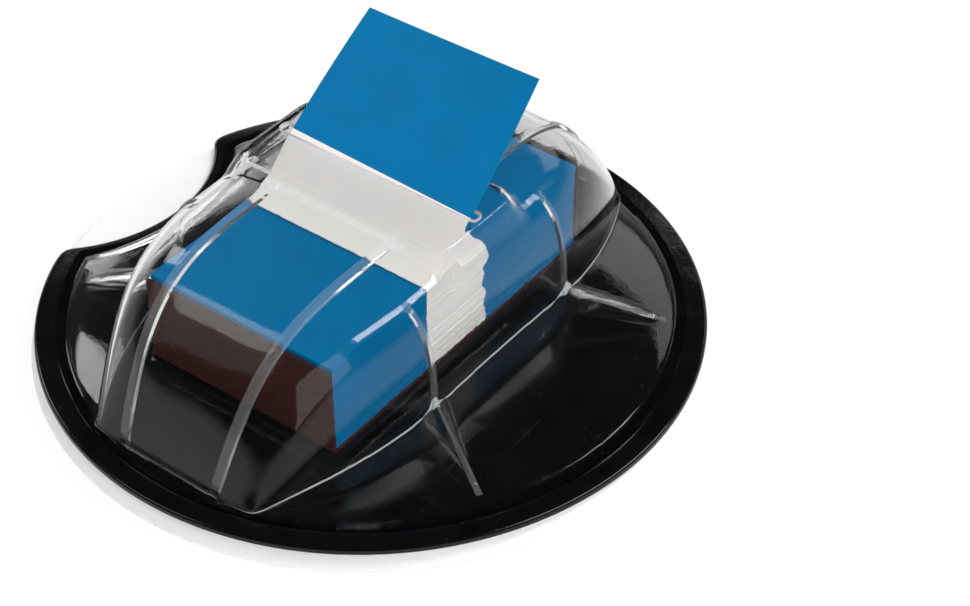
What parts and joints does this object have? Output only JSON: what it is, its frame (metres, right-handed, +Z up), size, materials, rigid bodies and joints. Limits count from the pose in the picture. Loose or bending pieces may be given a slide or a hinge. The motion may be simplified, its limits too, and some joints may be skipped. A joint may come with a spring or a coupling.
{
  "type": "desk dispenser with sticky index tabs",
  "caption": "Round desk dispenser on a soft grip disc, with a clear humped cover over a pad of sticky index tabs and one tab pulled up through its slot.",
  "frame": {"origin": "centre of the grip disc's underside, on the desk", "axes": "+Z up from the desk, +Y along the flags, +X across them, with the finger notch on the -X side"},
  "size_m": [0.0776, 0.0776, 0.033],
  "materials": {
    "grip_gel": "soft, milky and smooth",
    "black_plastic": "moulded, satin black with a bright bevelled edge",
    "brown_card": "matt dark card",
    "flag_film": "blue tab end and milky white middle band, satin",
    "clear_plastic": "clear thin moulding with glossy ribs"
  },
  "bodies": {
    "root": {"grip_disc": "grip_gel", "base_plate": "black_plastic", "pad_cradle": "brown_card", "flag_pad": "flag_film", "pulled_flag": "flag_film", "clear_cover": "clear_plastic"}
  },
  "joints": []
}
